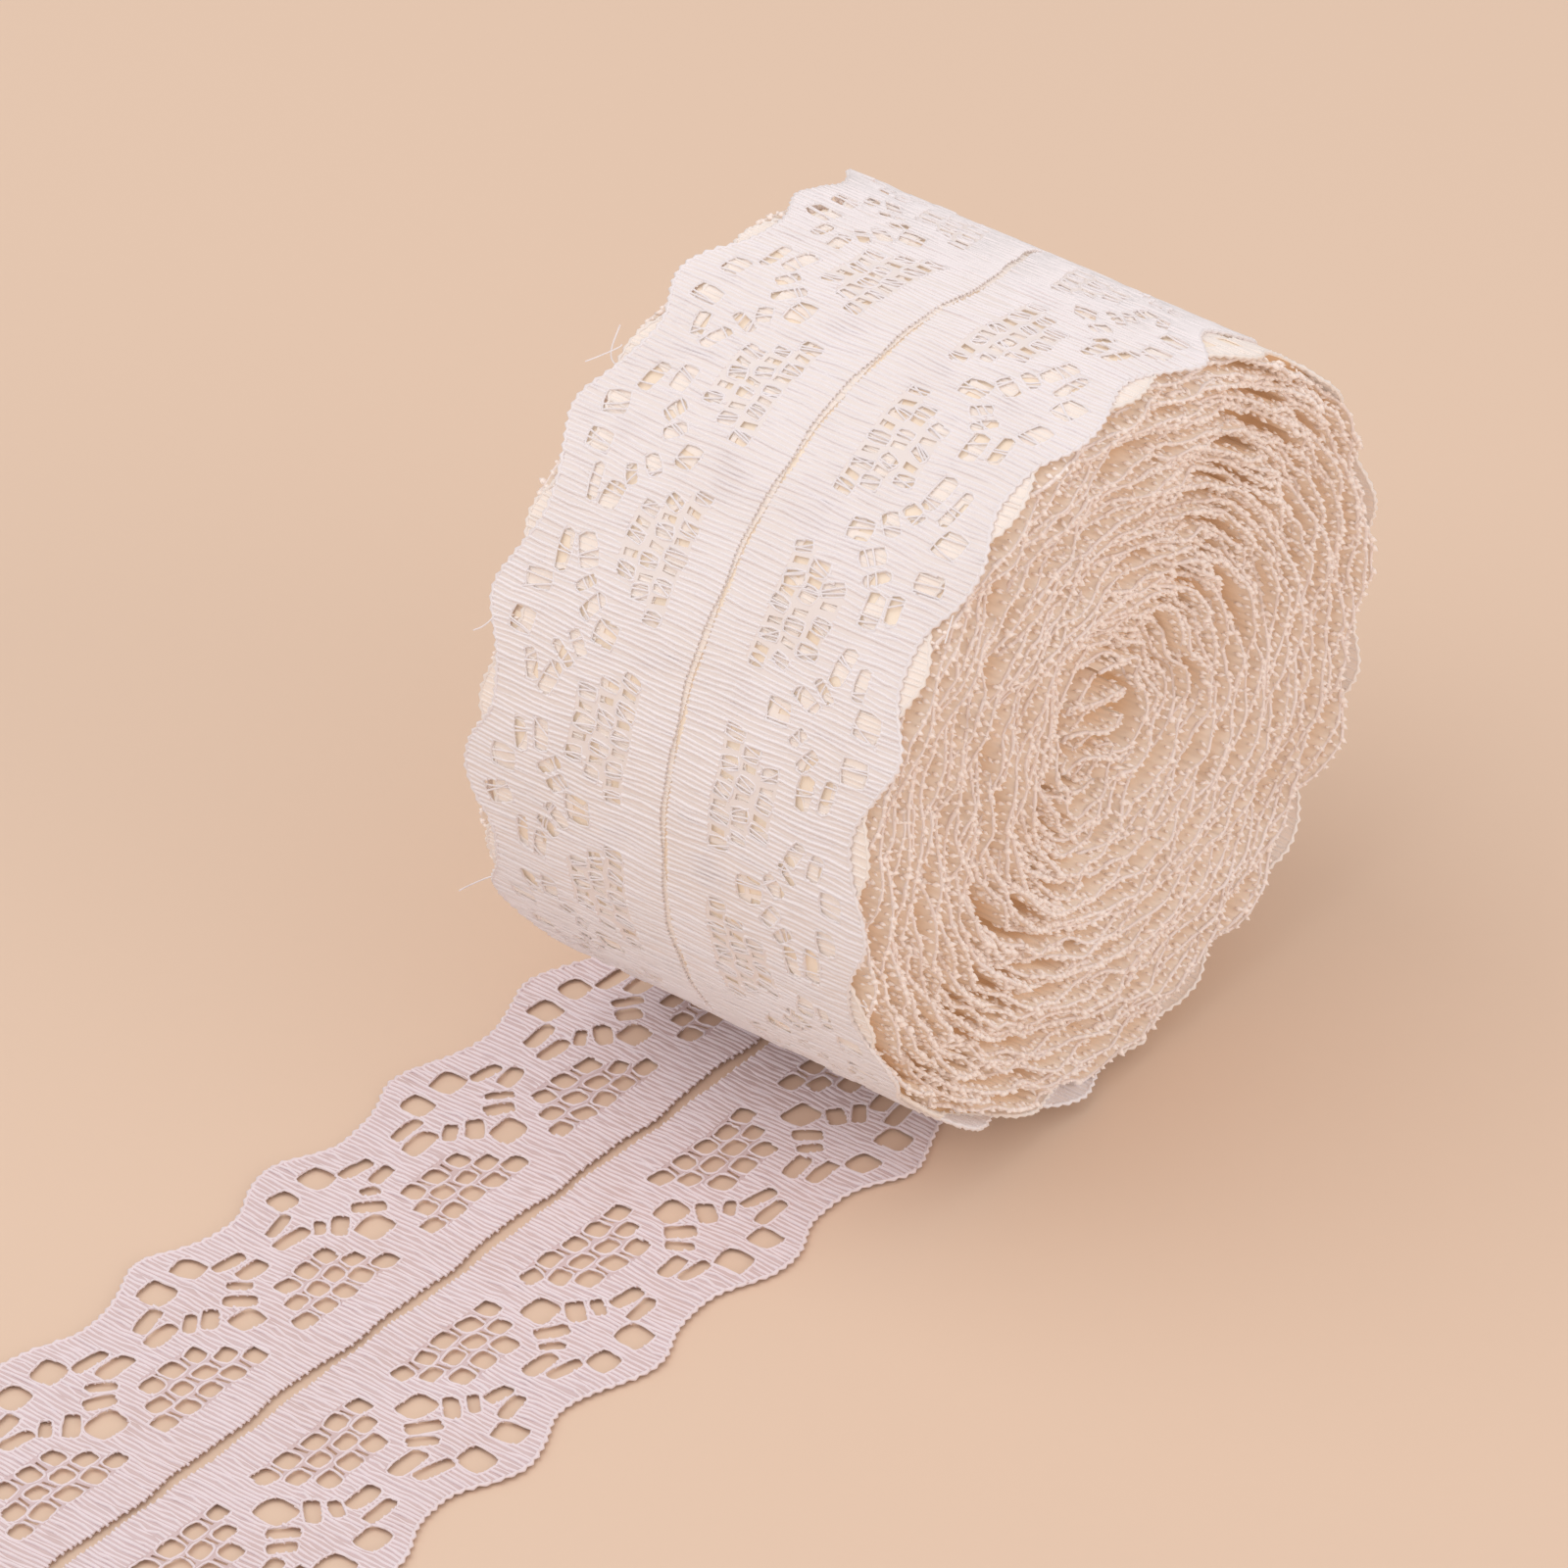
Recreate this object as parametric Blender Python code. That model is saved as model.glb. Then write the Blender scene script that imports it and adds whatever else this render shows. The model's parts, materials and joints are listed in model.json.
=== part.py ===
"""A coreless roll of scalloped lace ribbon whose outer end lies unrolled in front of it.

Two pieces. The roll is one solid of its wound form: groups of turns that spiral out over both
end faces, and the outermost turn, which has drifted sideways where it runs down behind the roll
to become the loose end. The loose end is a flat lace sheet that carries the roll.

The roll's axis lies along Y and its near end face looks to -Y. The ribbon leaves it along -X.
The origin is on the surface below the middle of the roll. Driving sizes are in millimetres.
"""

import math
import random

import bmesh
import bpy
from mathutils import Vector

MM = 0.001
MERGE_DISTANCE = 1e-6
SHARP_EDGE_DEG = 35.0

# Ribbon
HALF_WIDTH_TIP = 22.5
HALF_WIDTH_VALLEY = 20.0
REPEAT_FLAT = 18.65
SLIT_WIDTH = 1.1
VALLEY_BREADTH = 1.25

# Roll
MEAN_RADIUS = 37.05
REPEAT_ON_ROLL_DEG = 26.5
TIP_ON_ROLL_DEG = 153.5
OUTER_TURN_DEPTH = 1.1
OUTER_TURN_SUNK = 0.5
SEAM_STEP = 0.9
SEAM_X = 5.3
SEAM_NOTCH_DEG = 1.6
FLAT_SPOT_DEPTH = 0.35
SLIT_GROOVE_DEPTH = 0.6

# How far the outermost turn and the loose end lie to +Y of the roll's middle
SIDE_DRIFT = 6.35
DRIFT_STARTS_DEG = 45.0
DRIFT_ENDS_DEG = 80.0

# Loose end
SHEET_THICKNESS = 1.0
GAP = 0.3
SHEET_END_X = SEAM_X - GAP
TIP_X = -22.4
REPEATS_SHOWN = 7
SHEET_START_X = TIP_X - 5.5 * REPEAT_FLAT
SLIT_DEPTH_IN_SHEET = 0.5

# The section is a little wider than it is high, and not quite round
ROUNDNESS = (
    # lobes, cosine, sine
    (2, 0.90, 0.29),
    (3, 0.18, 0.00),
    (4, 0.04, 0.21),
)

# The groups of turns on an end face, from the middle out. stands is how far the group's crest
# lies from the roll's middle plane and sinks how far the crease on its inner side does.
TURN_GROUPS = (
    # stands, sinks
    (17.6, 16.2),
    (19.6, 16.8),
    (21.4, 18.6),
    (21.9, 19.4),
    (21.2, 19.2),
    (22.2, 19.0),
    (21.6, 19.6),
    (21.9, 19.2),
)
CREST_SCALLOP = 0.7
CREST_WIDTH = 0.55
FIRST_CREASE = 0.6
RIM_MARGIN = 0.45
RIM_HALF_WIDTH = 20.9
HOLLOW_HALF_WIDTH = 15.4
GROUP_COLUMNS = 60

OUTER_COLUMNS = 76
# Points across the outermost turn's face: the part of the half width, and the rise in mm
FACE_POINTS = (
    # share, rise
    (1.00, 0.0),
    (0.52, 0.3),
)

# The large holes of one flower, each also mirrored in the rib that runs out to the scallop's tip.
# along and across place a hole's middle from the rib and from the slit, length and width are its
# size, and slant turns it.
FLOWER_HOLES = (
    # along, across, length, width, slant, sides
    (0.0, 9.3, 3.1, 2.6, 0.0, 8),
    (2.1, 11.7, 2.3, 1.8, 40.0, 6),
    (6.3, 14.3, 4.2, 2.3, 4.0, 6),
    (5.3, 16.7, 4.1, 1.3, -8.0, 6),
    (2.2, 18.3, 2.6, 2.4, 0.0, 6),
)
HOLE_SHIFT = 0.12
HOLE_SEED = 5
SCALLOP_POINTS = 8

LACE_ON_ROLL = (0.875, 0.800, 0.730, 1.0)
LACE_FLAT = (0.780, 0.690, 0.690, 1.0)


def clear_scene():
    for obj in list(bpy.data.objects):
        bpy.data.objects.remove(obj, do_unlink=True)


def fabric(name, colour):
    material = bpy.data.materials.new(name)
    material.use_nodes = True
    shader = material.node_tree.nodes["Principled BSDF"]
    shader.inputs["Base Color"].default_value = colour
    shader.inputs["Roughness"].default_value = 0.85
    shader.inputs["Metallic"].default_value = 0.0
    return material


def add_mesh(name, mesh, material=None):
    obj = bpy.data.objects.new(name, mesh)
    bpy.context.scene.collection.objects.link(obj)
    if material:
        mesh.materials.append(material)
    return obj


def mesh_of(name, points, faces):
    """A closed mesh from points in millimetres, with its faces turned outwards."""
    mesh = bpy.data.meshes.new(name)
    mesh.from_pydata([Vector(p) * MM for p in points], [], faces)
    work = bmesh.new()
    work.from_mesh(mesh)
    bmesh.ops.recalc_face_normals(work, faces=work.faces)
    work.to_mesh(mesh)
    work.free()
    return mesh


def box_mesh(name, low, high):
    mesh = bpy.data.meshes.new(name)
    work = bmesh.new()
    bmesh.ops.create_cube(work, size=1.0)
    for corner in work.verts:
        share = [c + 0.5 for c in corner.co]
        corner.co = Vector([(lo + s * (hi - lo)) * MM for s, lo, hi in zip(share, low, high)])
    work.to_mesh(mesh)
    work.free()
    return mesh


def apply_boolean(target, other, operation):
    """Joins or cuts with an exact Boolean and drops the helper object."""
    modifier = target.modifiers.new(operation.title(), "BOOLEAN")
    modifier.operation = operation
    modifier.solver = "EXACT"
    modifier.object = other
    graph = bpy.context.evaluated_depsgraph_get()
    result = bpy.data.meshes.new_from_object(target.evaluated_get(graph))
    target.modifiers.clear()
    target.data = result
    bpy.data.objects.remove(other, do_unlink=True)


def outline_radius(angle):
    """The roll's uneven outline at an angle from +X."""
    return MEAN_RADIUS + sum(c * math.cos(n * angle) + s * math.sin(n * angle) for n, c, s in ROUNDNESS)


def axis_height():
    """The roll's axis above the surface: its flat spot lies one gap above the loose end."""
    underside = [math.radians(degrees) for degrees in range(225, 316)]
    lowest = max(-outline_radius(angle) * math.sin(angle) for angle in underside)
    return lowest + SHEET_THICKNESS + GAP - FLAT_SPOT_DEPTH


def polar(radius, angle, y, centre_z):
    return (radius * math.cos(angle), y, centre_z + radius * math.sin(angle))


def scallop(repeats):
    """0 in a valley and 1 on a tip, with round tips and wider valleys."""
    wave = 0.5 + 0.5 * math.cos(2 * math.pi * repeats)
    return wave ** VALLEY_BREADTH


def half_width(repeats):
    return HALF_WIDTH_VALLEY + (HALF_WIDTH_TIP - HALF_WIDTH_VALLEY) * scallop(repeats)


def smooth_step(value, low, high):
    t = min(max((value - low) / (high - low), 0.0), 1.0)
    return t * t * (3 - 2 * t)


def drift(angle_deg):
    """Sideways place of the outermost turn at an angle between the seam and one turn on."""
    return SIDE_DRIFT * (1 - smooth_step(angle_deg, DRIFT_STARTS_DEG, DRIFT_ENDS_DEG))


def seam_angle():
    return math.asin(SEAM_X / MEAN_RADIUS) - math.pi / 2


def turn_groups_mesh(centre_z):
    """The wound body. The crests and creases of both end faces run out along one spiral, so the
    last column of points joins the first one with each group moved one place outwards."""
    groups = len(TURN_GROUPS)
    per_face = 2 * groups
    pitch = 1.0 / (groups + FIRST_CREASE + RIM_MARGIN)
    points = [(0.0, side * HOLLOW_HALF_WIDTH, centre_z) for side in (-1, 1)]
    start = len(points)
    per_column = 2 * (per_face + 1)
    for column in range(GROUP_COLUMNS):
        turned = column / GROUP_COLUMNS
        angle = seam_angle() - 2 * math.pi * turned
        radius = outline_radius(angle) - OUTER_TURN_DEPTH
        for side in (-1, 1):
            for group, (stands, sinks) in enumerate(TURN_GROUPS):
                next_stands, next_sinks = TURN_GROUPS[min(group + 1, groups - 1)]
                crest = stands + (next_stands - stands) * turned
                crease = sinks + (next_sinks - sinks) * turned
                wound = group + turned + FIRST_CREASE
                arc = math.pi * MEAN_RADIUS * pitch * wound * wound
                tip = math.cos(2 * math.pi * arc / REPEAT_FLAT + side)
                points.append(polar(radius * pitch * wound, angle, side * crease, centre_z))
                points.append(polar(radius * pitch * (wound + CREST_WIDTH), angle,
                                    side * (crest + CREST_SCALLOP * tip), centre_z))
            points.append(polar(radius, angle, side * RIM_HALF_WIDTH, centre_z))

    def at(column, side, place):
        return start + column * per_column + (per_face + 1) * side + place

    faces = []
    for side in (0, 1):
        for column in range(GROUP_COLUMNS - 1):
            faces.append((side, at(column, side, 0), at(column + 1, side, 0)))
            for place in range(per_face):
                faces.append((at(column, side, place), at(column, side, place + 1),
                              at(column + 1, side, place + 1), at(column + 1, side, place)))
        last = GROUP_COLUMNS - 1
        for place in (0, 1):
            faces.append((side, at(0, side, place), at(0, side, place + 1)))
        faces.append((side, at(0, side, 2), at(last, side, 0)))
        for place in range(per_face - 3):
            faces.append((at(last, side, place), at(last, side, place + 1),
                          at(0, side, place + 3), at(0, side, place + 2)))
        rim = at(0, side, per_face)
        faces.append((rim, at(0, side, per_face - 1), at(last, side, per_face - 3)))
        for place in range(per_face - 3, per_face):
            faces.append((rim, at(last, side, place), at(last, side, place + 1)))
    for column in range(GROUP_COLUMNS):
        after = (column + 1) % GROUP_COLUMNS
        faces.append((at(column, 0, per_face), at(column, 1, per_face),
                      at(after, 1, per_face), at(after, 0, per_face)))
    return mesh_of("turn_groups", points, faces)


def outer_turn_mesh(centre_z):
    """The outermost turn as a scalloped strip round the body, from the seam once round."""
    start = seam_angle()
    sweep = 2 * math.pi - math.radians(SEAM_NOTCH_DEG)
    points = []
    for column in range(OUTER_COLUMNS + 1):
        angle = start + sweep * column / OUTER_COLUMNS
        angle_deg = math.degrees(angle)
        repeats = (angle_deg - TIP_ON_ROLL_DEG) / REPEAT_ON_ROLL_DEG
        thicker = SEAM_STEP * (1 - smooth_step(angle_deg, math.degrees(start), DRIFT_ENDS_DEG))
        outside = outline_radius(angle) + thicker
        inside = outline_radius(angle) - OUTER_TURN_DEPTH - OUTER_TURN_SUNK
        middle = drift(angle_deg)
        edge = half_width(repeats)
        section = [(-edge, inside)]
        section += [(-share * edge, outside + rise) for share, rise in FACE_POINTS]
        section += [(-SLIT_WIDTH / 2, outside), (0.0, outside - SLIT_GROOVE_DEPTH)]
        section += [(SLIT_WIDTH / 2, outside)]
        section += [(share * edge, outside + rise) for share, rise in reversed(FACE_POINTS)]
        section += [(edge, inside)]
        points += [polar(radius, angle, middle + y, centre_z) for y, radius in section]
    around = len(points) // (OUTER_COLUMNS + 1)
    faces = [tuple(range(around)), tuple(range(OUTER_COLUMNS * around, len(points)))]
    for column in range(OUTER_COLUMNS):
        for place in range(around):
            here, there = column * around, (column + 1) * around
            beside = (place + 1) % around
            faces.append((here + place, here + beside, there + beside, there + place))
    return mesh_of("outer_turn", points, faces)


def lace_roll(material):
    centre_z = axis_height()
    roll = add_mesh("lace_roll", turn_groups_mesh(centre_z), material)
    apply_boolean(roll, add_mesh("outer_turn", outer_turn_mesh(centre_z)), "UNION")
    reach = 2 * MEAN_RADIUS
    low = (-reach, -reach, -reach)
    high = (SHEET_END_X, reach, SHEET_THICKNESS + GAP)
    apply_boolean(roll, add_mesh("flat_spot", box_mesh("flat_spot", low, high)), "DIFFERENCE")
    roll.data.shade_smooth()
    roll.data.set_sharp_from_angle(angle=math.radians(SHARP_EDGE_DEG))
    return roll


def ellipse_points(middle_x, middle_y, length, width, slant_deg, sides):
    slant = math.radians(slant_deg)
    ring = []
    for i in range(sides):
        turn = 2 * math.pi * (i + 0.5) / sides
        x, y = length / 2 * math.cos(turn), width / 2 * math.sin(turn)
        ring.append((middle_x + x * math.cos(slant) - y * math.sin(slant),
                     middle_y + x * math.sin(slant) + y * math.cos(slant)))
    return ring


def sheet_outline():
    """Both scalloped edges, closed by straight cuts across the ribbon."""
    steps = round((SHEET_END_X - SHEET_START_X) / REPEAT_FLAT * SCALLOP_POINTS)
    xs = [SHEET_START_X + (SHEET_END_X - SHEET_START_X) * i / steps for i in range(steps + 1)]
    near = [(x, SIDE_DRIFT - half_width((x - TIP_X) / REPEAT_FLAT)) for x in xs]
    far = [(x, SIDE_DRIFT + half_width((x - TIP_X) / REPEAT_FLAT)) for x in reversed(xs)]
    return near + far


def flower_holes():
    """Outlines of the large holes of every flower on the loose end, each a little out of place."""
    chance = random.Random(HOLE_SEED)
    holes = []
    for repeat in range(REPEATS_SHOWN):
        rib_x = TIP_X + (1 - repeat) * REPEAT_FLAT
        for along, across, length, width, slant, sides in FLOWER_HOLES:
            for half in (-1, 1):
                for mirror in ((-1, 1) if along else (1,)):
                    x = rib_x + mirror * along + chance.uniform(-HOLE_SHIFT, HOLE_SHIFT)
                    y = SIDE_DRIFT + half * across + chance.uniform(-HOLE_SHIFT, HOLE_SHIFT)
                    holes.append(ellipse_points(x, y, length, width, mirror * half * slant, sides))
    return holes


def loose_end(material):
    """A flat filled curve with a spline for the outline and one for each hole, given thickness."""
    curve = bpy.data.curves.new("loose_end", "CURVE")
    curve.dimensions = "2D"
    curve.fill_mode = "BOTH"
    curve.extrude = SHEET_THICKNESS / 2 * MM
    for ring in [sheet_outline()] + flower_holes():
        spline = curve.splines.new("POLY")
        spline.points.add(len(ring) - 1)
        for point, (x, y) in zip(spline.points, ring):
            point.co = (x * MM, y * MM, 0.0, 1.0)
        spline.use_cyclic_u = True
    flat = bpy.data.objects.new("loose_end_outline", curve)
    bpy.context.scene.collection.objects.link(flat)
    graph = bpy.context.evaluated_depsgraph_get()
    mesh = bpy.data.meshes.new_from_object(flat.evaluated_get(graph))
    bpy.data.objects.remove(flat, do_unlink=True)
    work = bmesh.new()
    work.from_mesh(mesh)
    bmesh.ops.translate(work, verts=work.verts, vec=Vector((0, 0, SHEET_THICKNESS / 2 * MM)))
    bmesh.ops.remove_doubles(work, verts=work.verts, dist=MERGE_DISTANCE)
    bmesh.ops.recalc_face_normals(work, faces=work.faces)
    work.to_mesh(mesh)
    work.free()
    sheet = add_mesh("loose_end", mesh, material)
    beyond = 2 * REPEAT_FLAT
    low = (SHEET_START_X - beyond, SIDE_DRIFT - SLIT_WIDTH / 2, SHEET_THICKNESS - SLIT_DEPTH_IN_SHEET)
    high = (SHEET_END_X + beyond, SIDE_DRIFT + SLIT_WIDTH / 2, 2 * SHEET_THICKNESS)
    apply_boolean(sheet, add_mesh("slit", box_mesh("slit", low, high)), "DIFFERENCE")
    return sheet


clear_scene()
lace_roll(fabric("lace_wound", LACE_ON_ROLL))
loose_end(fabric("lace_laid", LACE_FLAT))
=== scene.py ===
# %% [markdown]
# A small roll of lace ribbon with its loose end
#
# This lesson dresses a plain solid model as knitted lace. The solids are already packed in a frame,
# so each cell below adds threads where the solids are, and measures what it made.

# %% Load the frame
import json
import math

import bpy
import numpy as np
from mathutils import Matrix, Vector

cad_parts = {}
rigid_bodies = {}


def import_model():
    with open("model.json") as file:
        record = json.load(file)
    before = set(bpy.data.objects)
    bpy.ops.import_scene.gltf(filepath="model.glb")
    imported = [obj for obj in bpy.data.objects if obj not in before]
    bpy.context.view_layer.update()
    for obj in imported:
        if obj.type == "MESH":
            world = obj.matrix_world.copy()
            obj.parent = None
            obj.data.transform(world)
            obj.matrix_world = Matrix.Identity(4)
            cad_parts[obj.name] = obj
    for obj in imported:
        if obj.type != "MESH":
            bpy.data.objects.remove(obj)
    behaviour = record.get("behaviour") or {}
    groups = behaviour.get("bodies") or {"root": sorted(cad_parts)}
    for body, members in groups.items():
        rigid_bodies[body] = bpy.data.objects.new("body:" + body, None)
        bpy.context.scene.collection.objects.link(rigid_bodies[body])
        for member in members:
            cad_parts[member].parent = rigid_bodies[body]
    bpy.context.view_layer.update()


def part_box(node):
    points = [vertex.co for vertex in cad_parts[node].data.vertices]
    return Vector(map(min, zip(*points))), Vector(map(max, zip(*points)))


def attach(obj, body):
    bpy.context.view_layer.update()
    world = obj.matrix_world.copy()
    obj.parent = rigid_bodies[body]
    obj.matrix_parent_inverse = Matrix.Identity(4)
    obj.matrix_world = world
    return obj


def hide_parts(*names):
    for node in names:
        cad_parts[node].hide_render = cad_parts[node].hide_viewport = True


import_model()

MM = 0.001
scene = bpy.context.scene

# %% [markdown]
# Helpers for nodes and lines
#
# Materials and Geometry Nodes trees are both graphs of nodes with sockets. One short function adds a
# node, sets its options and fills each input with a value or a link, so a graph reads like a recipe.


# %% Add a node
def add(tree, kind, inputs=None, **settings):
    """Adds a node. A node that is given as an input stands for its first output."""
    node = tree.nodes.new(kind)
    for name, value in settings.items():
        setattr(node, name, value)
    for key, value in (inputs or {}).items():
        if isinstance(value, bpy.types.Node):
            value = value.outputs[0]
        if isinstance(value, bpy.types.NodeSocket):
            tree.links.new(value, node.inputs[key])
        else:
            node.inputs[key].default_value = value
    return node


# %% Begin and end a Geometry Nodes tree
def geometry_tree(name, inputs):
    """An empty tree with a geometry input, the named inputs and a geometry output."""
    tree = bpy.data.node_groups.new(name, "GeometryNodeTree")
    tree.interface.new_socket("Geometry", in_out="INPUT", socket_type="NodeSocketGeometry")
    for label, kind in inputs.items():
        tree.interface.new_socket(label, in_out="INPUT", socket_type="NodeSocket" + kind)
    tree.interface.new_socket("Geometry", in_out="OUTPUT", socket_type="NodeSocketGeometry")
    return tree, add(tree, "NodeGroupInput").outputs


def end_tree(tree, geometry, material):
    """Every tree ends the same way: real geometry with its material."""
    real = add(tree, "GeometryNodeRealizeInstances", {"Geometry": geometry})
    finished = add(tree, "GeometryNodeSetMaterial", {"Geometry": real, "Material": material})
    add(tree, "NodeGroupOutput", {0: finished})


# %% Objects and meshes of lines
def new_object(name, data):
    """Puts a mesh, a curve, a light or a camera into the scene."""
    made = bpy.data.objects.new(name, data)
    scene.collection.objects.link(made)
    return made


def line_mesh(name, points, edges, **values):
    """A mesh of lines in millimetres. Each of the values is a length that every point carries."""
    mesh = bpy.data.meshes.new(name)
    mesh.from_pydata((np.asarray(points) * MM).tolist(), edges, [])
    for label, lengths in values.items():
        lengths = (np.asarray(lengths) * MM).astype(np.float32)
        mesh.attributes.new(label, "FLOAT", "POINT").data.foreach_set("value", lengths)
    return mesh


def chain(count):
    """The edges that join a row of points one after another."""
    return [(i, i + 1) for i in range(count - 1)]


# %% Run a tree
def run_tree(name, drawing, tree, values):
    """Runs a tree on a drawing and keeps the result as a plain mesh object."""
    source = new_object(name + "_drawing", drawing)
    modifier = source.modifiers.new(tree.name, "NODES")
    modifier.node_group = tree
    for item in tree.interface.items_tree:
        if item.name in values:
            modifier[item.identifier] = values[item.name]
    graph = bpy.context.evaluated_depsgraph_get()
    mesh = bpy.data.meshes.new_from_object(source.evaluated_get(graph))
    source.modifiers.clear()
    bpy.data.objects.remove(source, do_unlink=True)
    mesh.name = name
    print(f"{name}: {sum(len(face.vertices) - 2 for face in mesh.polygons)} triangles")
    return new_object(name, mesh)


# %% [markdown]
# Colours
#
# Colours are written as sRGB hex values, as a dyer's chart gives them, and Blender's shaders want
# linear light. One function turns one into the other.


# %% Colours
def colour(hex_value):
    channels = [int(hex_value[i:i + 2], 16) / 255 for i in (0, 2, 4)]
    linear = [c / 12.92 if c <= 0.04045 else ((c + 0.055) / 1.055) ** 2.4 for c in channels]
    return (*linear, 1.0)


print("half grey in linear light:", round(colour("808080")[0], 3))

# %% [markdown]
# The yarn
#
# The lace is warp knitted from fine polyester yarn: soft and matt, with a faint sheen at grazing angles.
# Undyed ivory yarn is never one flat colour, so a soft noise tints it, and a fine bump stands for the
# filaments. Real filaments are 0.02 mm, far too fine to show, so the bump is drawn at 0.25 mm, and on
# the roll's ribs at 0.45 mm, the size of a stitch. Light also soaks through such yarn and comes out
# again elsewhere, which fills the shadows of real lace. A weak glow of its own colour stands for that.

# %% The yarn's texture
FILAMENT_MM = 0.25
STITCH_MM = 0.45
TINT_MM = 9.0
YARN_FINISH = {"Specular IOR Level": 0.25, "Sheen Weight": 0.25, "Sheen Roughness": 0.45}


def yarn_material(name, light, deep, deep_share, roughness, bump, soaked=0.04, grain=FILAMENT_MM):
    """Yarn tinted between two colours. The glow's strength is soaked, and the bump's size is grain."""
    material = bpy.data.materials.new(name)
    material.use_nodes = True
    tree = material.node_tree
    shader = tree.nodes["Principled BSDF"]
    own = {"Roughness": roughness, "Emission Color": colour(deep), "Emission Strength": soaked}
    for key, value in {**YARN_FINISH, **own}.items():
        shader.inputs[key].default_value = value
    place = add(tree, "ShaderNodeTexCoord").outputs["Object"]
    broad = add(tree, "ShaderNodeTexNoise", {"Vector": place, "Scale": 1 / (TINT_MM * MM), "Detail": 3.0})
    share = add(tree, "ShaderNodeMapRange", {0: broad, 1: 0.35, 2: 0.7, "To Max": deep_share})
    tint = add(tree, "ShaderNodeMix", {"Factor": share, "A": colour(light), "B": colour(deep)},
               data_type="RGBA")
    fine = add(tree, "ShaderNodeTexNoise", {"Vector": place, "Scale": 1 / (grain * MM), "Detail": 2.0})
    relief = add(tree, "ShaderNodeBump", {"Height": fine, "Strength": bump, "Distance": grain / 5 * MM})
    tree.links.new(tint.outputs["Result"], shader.inputs["Base Color"])
    tree.links.new(relief.outputs[0], shader.inputs["Normal"])
    return material


# %% Yarn and knitted ground for each layer
# Each knitted ground is tinted darker than the yarn of its ribs: painted shade between the ribs. On the loose
# end the ground is darker still, partly painted shade and partly the floor's tone showing through the thin
# ground.
yarn_on_roll = yarn_material("polyester_yarn_ivory", "F5EFF1", "F1EAEA", 0.7, 0.6, 0.8, 0.05, STITCH_MM)
knit_on_roll = yarn_material("polyester_knit_ivory", "EDE4E1", "EADFDA", 0.7, 0.7, 0.5, 0.06)
# The second turn's copies are warmer and glow more strongly than the first turn's: painted light that lifts
# the shade it lies in under the first turn.
knit_below = yarn_material("polyester_knit_ivory_below", "F3E8E0", "F0E3D8", 0.7, 0.7, 0.5, 0.11)
yarn_below = yarn_material("polyester_yarn_ivory_below", "F4ECE7", "F1E6DE", 0.7, 0.7, 0.5, 0.09)
yarn_laid = yarn_material("polyester_yarn_single_layer", "EFE3E7", "ECDDE0", 0.7, 0.6, 0.5)
knit_laid = yarn_material("polyester_knit_single_layer", "D6C2C4", "D0B8B4", 0.7, 0.7, 0.5)
print("yarns:", yarn_on_roll.name, yarn_below.name, yarn_laid.name)

# %% [markdown]
# The chart of the lace
#
# One repeat of the pattern is 18.65 mm long. Each half of the ribbon, mirrored in the slit, has a plain
# ribbed band, a cluster of net, and a small flower under each scallop. A knitter would chart it on
# squared paper. Here each hole is a row of a table: where it lies from the flower's rib and from the
# slit, and how large it is.

# %% The chart, in millimetres
REPEAT = 18.65
COURSES = 35
COURSE = REPEAT / COURSES
NET_PITCH = 3.05
NET_ROWS = (
    # across, holes, length, width
    (5.80, 5, 2.05, 1.95),
    (7.95, 4, 2.05, 1.80),
    (10.20, 3, 2.05, 2.05),
)
FLOWER_HOLES = (
    # along, across, length, width, slant in degrees
    (0.00, 9.60, 3.30, 2.90, 0.0),
    (1.90, 12.05, 3.05, 1.75, -42.0),
    (3.60, 13.30, 3.00, 1.55, -42.0),
    (6.40, 14.20, 4.10, 2.10, 3.0),
    (5.65, 16.45, 4.10, 1.65, -6.0),
    (2.30, 18.35, 3.15, 3.15, 0.0),
)
print("one course of knitting:", round(COURSE, 3), "mm")

# %% The scalloped edge
TIP_REACH = 22.5
VALLEY_REACH = 20.0
VALLEY_BREADTH = 1.25


def scallop_reach(along):
    """The scalloped edge's distance from the slit: round tips, wider valleys."""
    wave = 0.5 + 0.5 * np.cos(2 * np.pi * np.asarray(along) / REPEAT)
    return VALLEY_REACH + (TIP_REACH - VALLEY_REACH) * wave ** VALLEY_BREADTH


# %% [markdown]
# Uneven hands
#
# Knitted lace is never square: the courses lean and the holes differ. A smooth warp of two slow waves
# each way moves everything a little, the same for ground and threads, so they stay together. Where the
# loose end is pulled, its pattern also slips along.


# %% Lean and slip
def lean(along, across):
    """Moves points of the flat lace by up to a quarter of a millimetre."""
    a, b = along / REPEAT, across / REPEAT
    shift_a = 0.13 * np.sin(7.1 * a + 3.3 * b) + 0.10 * np.sin(11.9 * b - 5.3 * a + 1.0)
    shift_b = 0.12 * np.sin(8.3 * a - 2.1 * b + 2.0) + 0.08 * np.sin(17.0 * a + 6.0 * b)
    return along + shift_a, across + shift_b


NO_SLACK = ((0.0, 0.0),)
# place along the ribbon, how far the pattern has slipped towards the roll
LAID_SLACK = ((-56.0, 2.4), (-37.5, 0.9), (-18.5, 0.4), (0.0, 0.0))


def read_table(place, table):
    """The value between two rows of a table of places and values."""
    return np.interp(place, [row[0] for row in table], [row[1] for row in table])


def outer_edge(along, slack):
    return scallop_reach(along - read_table(along, slack))


print("slip at the far end:", read_table(-56.0, LAID_SLACK), "mm")

# %% The form of a hole
SQUARENESS = 4.4


def on_ribbon(hole, x, y):
    """Turns places measured from a hole's middle, in its own directions, into places on the ribbon."""
    along, across, _, _, slant = hole
    c, s = math.cos(slant), math.sin(slant)
    return along + x * c - y * s, across + x * s + y * c


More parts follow.
